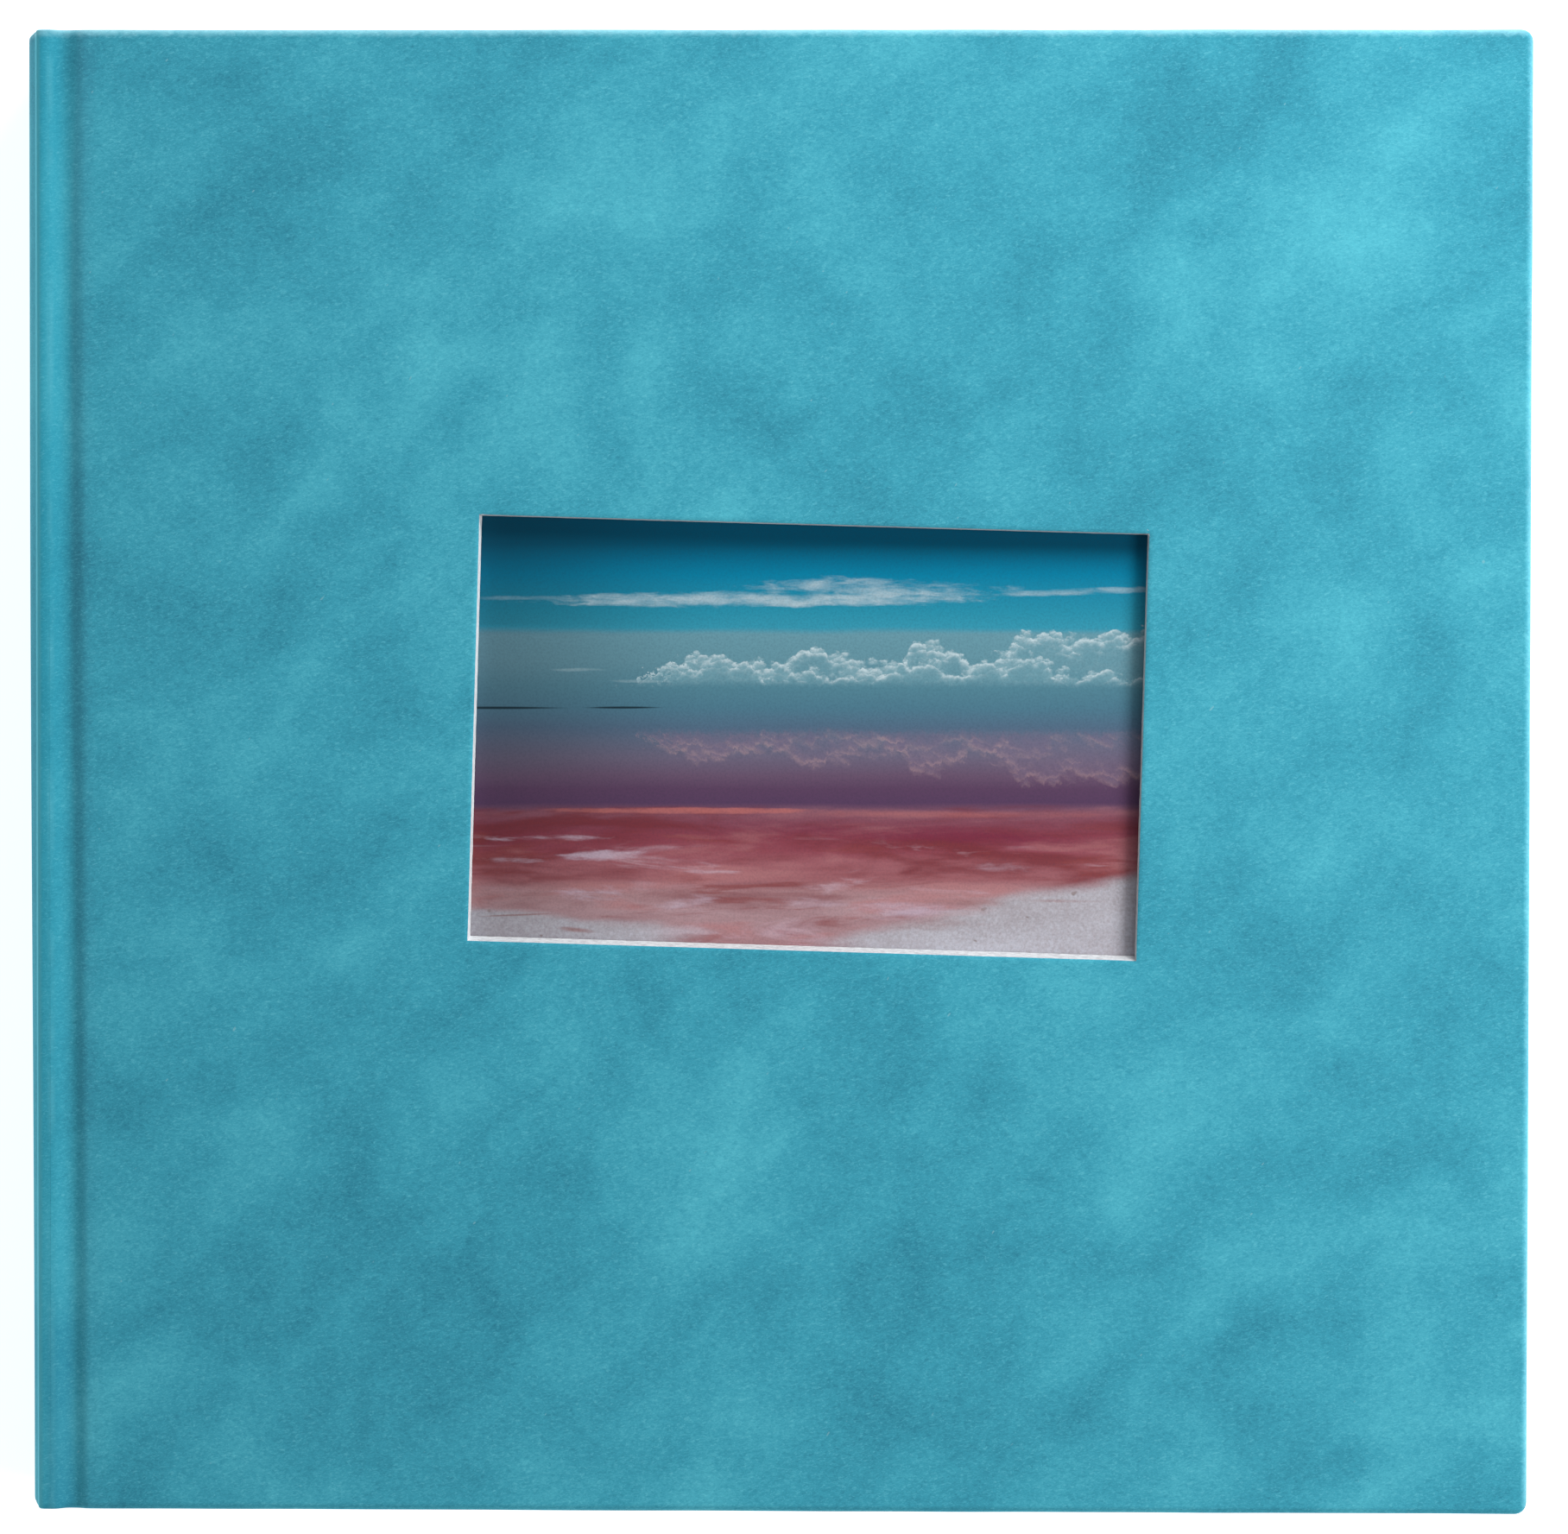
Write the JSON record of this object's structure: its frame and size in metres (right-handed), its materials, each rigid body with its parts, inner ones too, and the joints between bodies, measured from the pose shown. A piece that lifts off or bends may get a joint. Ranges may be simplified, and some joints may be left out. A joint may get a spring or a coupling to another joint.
{
  "type": "scrapbook album",
  "caption": "Square case-bound scrapbook album with a soft suede-like covering, a grooved spine and a landscape print behind a rectangular window in the front cover.",
  "frame": {"origin": "under the middle of the closed album, on the surface it lies on", "axes": "+X from the spine to the fore edge, +Y to the head of the album, +Z out of the front cover"},
  "size_m": [0.312, 0.306, 0.0336],
  "materials": {
    "covering": "matt nubuck",
    "greyboard": "matt",
    "filler_card": "matt",
    "spine_card": "matt",
    "lining_paper": "matt",
    "page_card": "matt",
    "guard_card": "matt",
    "gauze": "open weave",
    "kraft_paper": "matt",
    "band_cloth": "woven",
    "photo_print": "satin"
  },
  "bodies": {
    "back_cover": {"back_board": "greyboard", "back_wrap": "covering", "back_filler": "filler_card", "back_pastedown": "lining_paper"},
    "spine": {"spine_wrap": "covering", "spine_card": "spine_card", "spine_gauze": "gauze", "spine_liner": "kraft_paper", "head_band": "band_cloth", "tail_band": "band_cloth", "leaf_stubs": "page_card", "page_guards": "guard_card"},
    "front_joint": {"front_joint_wrap": "covering", "front_joint_lining": "lining_paper"},
    "front_cover": {"front_board": "greyboard", "front_wrap": "covering", "front_filler": "filler_card", "front_pastedown": "lining_paper"},
    "window_print": {"window_photo": "photo_print"},
    "back_flyleaf": {"back_flyleaf": "lining_paper"},
    "leaf_30": {"leaf_30": "page_card"},
    "leaf_29": {"leaf_29": "page_card"},
    "leaf_28": {"leaf_28": "page_card"},
    "leaf_27": {"leaf_27": "page_card"},
    "leaf_26": {"leaf_26": "page_card"},
    "leaf_25": {"leaf_25": "page_card"},
    "leaf_24": {"leaf_24": "page_card"},
    "leaf_23": {"leaf_23": "page_card"},
    "leaf_22": {"leaf_22": "page_card"},
    "leaf_21": {"leaf_21": "page_card"},
    "leaf_20": {"leaf_20": "page_card"},
    "leaf_19": {"leaf_19": "page_card"},
    "leaf_18": {"leaf_18": "page_card"},
    "leaf_17": {"leaf_17": "page_card"},
    "leaf_16": {"leaf_16": "page_card"},
    "leaf_15": {"leaf_15": "page_card"},
    "leaf_14": {"leaf_14": "page_card"},
    "leaf_13": {"leaf_13": "page_card"},
    "leaf_12": {"leaf_12": "page_card"},
    "leaf_11": {"leaf_11": "page_card"},
    "leaf_10": {"leaf_10": "page_card"},
    "leaf_09": {"leaf_09": "page_card"},
    "leaf_08": {"leaf_08": "page_card"},
    "leaf_07": {"leaf_07": "page_card"},
    "leaf_06": {"leaf_06": "page_card"},
    "leaf_05": {"leaf_05": "page_card"},
    "leaf_04": {"leaf_04": "page_card"},
    "leaf_03": {"leaf_03": "page_card"},
    "leaf_02": {"leaf_02": "page_card"},
    "leaf_01": {"leaf_01": "page_card"},
    "front_flyleaf": {"front_flyleaf": "lining_paper"}
  },
  "joints": [
    {"name": "back_fold", "type": "hinge", "parent": "back_cover", "child": "spine", "pos_m": [-0.1524, 0, 0.0038], "axis": [0, -1, 0], "range_deg": [0, 90]},
    {"name": "front_fold", "type": "hinge", "parent": "spine", "child": "front_joint", "pos_m": [-0.1524, 0, 0.0298], "axis": [0, -1, 0], "range_deg": [0, 90]},
    {"name": "cover_hinge", "type": "hinge", "parent": "front_joint", "child": "front_cover", "pos_m": [-0.1449, 0, 0.03025], "axis": [0, 1, 0], "range_deg": [-90, 0]},
    {"name": "print_slide", "type": "slide", "parent": "front_cover", "child": "window_print", "axis": [1, 0, 0], "range_m": [0, 0.02]},
    {"name": "back_flyleaf_turn", "type": "hinge", "parent": "spine", "child": "back_flyleaf", "pos_m": [-0.14195, 0, 0.0044], "axis": [0, -1, 0], "range_deg": [-92, 0]},
    {"name": "leaf_30_turn", "type": "hinge", "parent": "spine", "child": "leaf_30", "pos_m": [-0.14145, 0, 0.0052], "axis": [0, -1, 0], "range_deg": [-92, 0]},
    {"name": "leaf_29_turn", "type": "hinge", "parent": "spine", "child": "leaf_29", "pos_m": [-0.14095, 0, 0.006], "axis": [0, -1, 0], "range_deg": [-92, 0]},
    {"name": "leaf_28_turn", "type": "hinge", "parent": "spine", "child": "leaf_28", "pos_m": [-0.14045, 0, 0.0068], "axis": [0, -1, 0], "range_deg": [-92, 0]},
    {"name": "leaf_27_turn", "type": "hinge", "parent": "spine", "child": "leaf_27", "pos_m": [-0.13995, 0, 0.0076], "axis": [0, -1, 0], "range_deg": [-92, 0]},
    {"name": "leaf_26_turn", "type": "hinge", "parent": "spine", "child": "leaf_26", "pos_m": [-0.13945, 0, 0.0084], "axis": [0, -1, 0], "range_deg": [-92, 0]},
    {"name": "leaf_25_turn", "type": "hinge", "parent": "spine", "child": "leaf_25", "pos_m": [-0.13895, 0, 0.0092], "axis": [0, -1, 0], "range_deg": [-92, 0]},
    {"name": "leaf_24_turn", "type": "hinge", "parent": "spine", "child": "leaf_24", "pos_m": [-0.13845, 0, 0.01], "axis": [0, -1, 0], "range_deg": [-92, 0]},
    {"name": "leaf_23_turn", "type": "hinge", "parent": "spine", "child": "leaf_23", "pos_m": [-0.13795, 0, 0.0108], "axis": [0, -1, 0], "range_deg": [-92, 0]},
    {"name": "leaf_22_turn", "type": "hinge", "parent": "spine", "child": "leaf_22", "pos_m": [-0.13745, 0, 0.0116], "axis": [0, -1, 0], "range_deg": [-92, 0]},
    {"name": "leaf_21_turn", "type": "hinge", "parent": "spine", "child": "leaf_21", "pos_m": [-0.13695, 0, 0.0124], "axis": [0, -1, 0], "range_deg": [-92, 0]},
    {"name": "leaf_20_turn", "type": "hinge", "parent": "spine", "child": "leaf_20", "pos_m": [-0.13645, 0, 0.0132], "axis": [0, -1, 0], "range_deg": [-92, 0]},
    {"name": "leaf_19_turn", "type": "hinge", "parent": "spine", "child": "leaf_19", "pos_m": [-0.13595, 0, 0.014], "axis": [0, -1, 0], "range_deg": [-92, 0]},
    {"name": "leaf_18_turn", "type": "hinge", "parent": "spine", "child": "leaf_18", "pos_m": [-0.13545, 0, 0.0148], "axis": [0, -1, 0], "range_deg": [-92, 0]},
    {"name": "leaf_17_turn", "type": "hinge", "parent": "spine", "child": "leaf_17", "pos_m": [-0.13495, 0, 0.0156], "axis": [0, -1, 0], "range_deg": [-92, 0]},
    {"name": "leaf_16_turn", "type": "hinge", "parent": "spine", "child": "leaf_16", "pos_m": [-0.13445, 0, 0.0164], "axis": [0, -1, 0], "range_deg": [-92, 0]},
    {"name": "leaf_15_turn", "type": "hinge", "parent": "spine", "child": "leaf_15", "pos_m": [-0.13445, 0, 0.0172], "axis": [0, -1, 0], "range_deg": [0, 92]},
    {"name": "leaf_14_turn", "type": "hinge", "parent": "spine", "child": "leaf_14", "pos_m": [-0.13495, 0, 0.018], "axis": [0, -1, 0], "range_deg": [0, 92]},
    {"name": "leaf_13_turn", "type": "hinge", "parent": "spine", "child": "leaf_13", "pos_m": [-0.13545, 0, 0.0188], "axis": [0, -1, 0], "range_deg": [0, 92]},
    {"name": "leaf_12_turn", "type": "hinge", "parent": "spine", "child": "leaf_12", "pos_m": [-0.13595, 0, 0.0196], "axis": [0, -1, 0], "range_deg": [0, 92]},
    {"name": "leaf_11_turn", "type": "hinge", "parent": "spine", "child": "leaf_11", "pos_m": [-0.13645, 0, 0.0204], "axis": [0, -1, 0], "range_deg": [0, 92]},
    {"name": "leaf_10_turn", "type": "hinge", "parent": "spine", "child": "leaf_10", "pos_m": [-0.13695, 0, 0.0212], "axis": [0, -1, 0], "range_deg": [0, 92]},
    {"name": "leaf_09_turn", "type": "hinge", "parent": "spine", "child": "leaf_09", "pos_m": [-0.13745, 0, 0.022], "axis": [0, -1, 0], "range_deg": [0, 92]},
    {"name": "leaf_08_turn", "type": "hinge", "parent": "spine", "child": "leaf_08", "pos_m": [-0.13795, 0, 0.0228], "axis": [0, -1, 0], "range_deg": [0, 92]},
    {"name": "leaf_07_turn", "type": "hinge", "parent": "spine", "child": "leaf_07", "pos_m": [-0.13845, 0, 0.0236], "axis": [0, -1, 0], "range_deg": [0, 92]},
    {"name": "leaf_06_turn", "type": "hinge", "parent": "spine", "child": "leaf_06", "pos_m": [-0.13895, 0, 0.0244], "axis": [0, -1, 0], "range_deg": [0, 92]},
    {"name": "leaf_05_turn", "type": "hinge", "parent": "spine", "child": "leaf_05", "pos_m": [-0.13945, 0, 0.0252], "axis": [0, -1, 0], "range_deg": [0, 92]},
    {"name": "leaf_04_turn", "type": "hinge", "parent": "spine", "child": "leaf_04", "pos_m": [-0.13995, 0, 0.026], "axis": [0, -1, 0], "range_deg": [0, 92]},
    {"name": "leaf_03_turn", "type": "hinge", "parent": "spine", "child": "leaf_03", "pos_m": [-0.14045, 0, 0.0268], "axis": [0, -1, 0], "range_deg": [0, 92]},
    {"name": "leaf_02_turn", "type": "hinge", "parent": "spine", "child": "leaf_02", "pos_m": [-0.14095, 0, 0.0276], "axis": [0, -1, 0], "range_deg": [0, 92]},
    {"name": "leaf_01_turn", "type": "hinge", "parent": "spine", "child": "leaf_01", "pos_m": [-0.14145, 0, 0.0284], "axis": [0, -1, 0], "range_deg": [0, 92]},
    {"name": "front_flyleaf_turn", "type": "hinge", "parent": "spine", "child": "front_flyleaf", "pos_m": [-0.14195, 0, 0.0292], "axis": [0, -1, 0], "range_deg": [0, 92]}
  ],
  "couplings": [
    {"joint": "back_flyleaf_turn", "follows": "back_fold", "ratio": -1.0206},
    {"joint": "leaf_30_turn", "follows": "back_fold", "ratio": -1.0199},
    {"joint": "leaf_29_turn", "follows": "back_fold", "ratio": -1.0193},
    {"joint": "leaf_28_turn", "follows": "back_fold", "ratio": -1.0187},
    {"joint": "leaf_27_turn", "follows": "back_fold", "ratio": -1.0181},
    {"joint": "leaf_26_turn", "follows": "back_fold", "ratio": -1.0175},
    {"joint": "leaf_25_turn", "follows": "back_fold", "ratio": -1.0169},
    {"joint": "leaf_24_turn", "follows": "back_fold", "ratio": -1.0163},
    {"joint": "leaf_23_turn", "follows": "back_fold", "ratio": -1.0157},
    {"joint": "leaf_22_turn", "follows": "back_fold", "ratio": -1.0151},
    {"joint": "leaf_21_turn", "follows": "back_fold", "ratio": -1.0144},
    {"joint": "leaf_20_turn", "follows": "back_fold", "ratio": -1.0138},
    {"joint": "leaf_19_turn", "follows": "back_fold", "ratio": -1.0132},
    {"joint": "leaf_18_turn", "follows": "back_fold", "ratio": -1.0126},
    {"joint": "leaf_17_turn", "follows": "back_fold", "ratio": -1.012},
    {"joint": "leaf_16_turn", "follows": "back_fold", "ratio": -1.0114},
    {"joint": "leaf_15_turn", "follows": "front_fold", "ratio": 1.0114},
    {"joint": "leaf_14_turn", "follows": "front_fold", "ratio": 1.012},
    {"joint": "leaf_13_turn", "follows": "front_fold", "ratio": 1.0126},
    {"joint": "leaf_12_turn", "follows": "front_fold", "ratio": 1.0132},
    {"joint": "leaf_11_turn", "follows": "front_fold", "ratio": 1.0138},
    {"joint": "leaf_10_turn", "follows": "front_fold", "ratio": 1.0144},
    {"joint": "leaf_09_turn", "follows": "front_fold", "ratio": 1.0151},
    {"joint": "leaf_08_turn", "follows": "front_fold", "ratio": 1.0157},
    {"joint": "leaf_07_turn", "follows": "front_fold", "ratio": 1.0163},
    {"joint": "leaf_06_turn", "follows": "front_fold", "ratio": 1.0169},
    {"joint": "leaf_05_turn", "follows": "front_fold", "ratio": 1.0175},
    {"joint": "leaf_04_turn", "follows": "front_fold", "ratio": 1.0181},
    {"joint": "leaf_03_turn", "follows": "front_fold", "ratio": 1.0187},
    {"joint": "leaf_02_turn", "follows": "front_fold", "ratio": 1.0193},
    {"joint": "leaf_01_turn", "follows": "front_fold", "ratio": 1.0199},
    {"joint": "front_flyleaf_turn", "follows": "front_fold", "ratio": 1.0206}
  ]
}
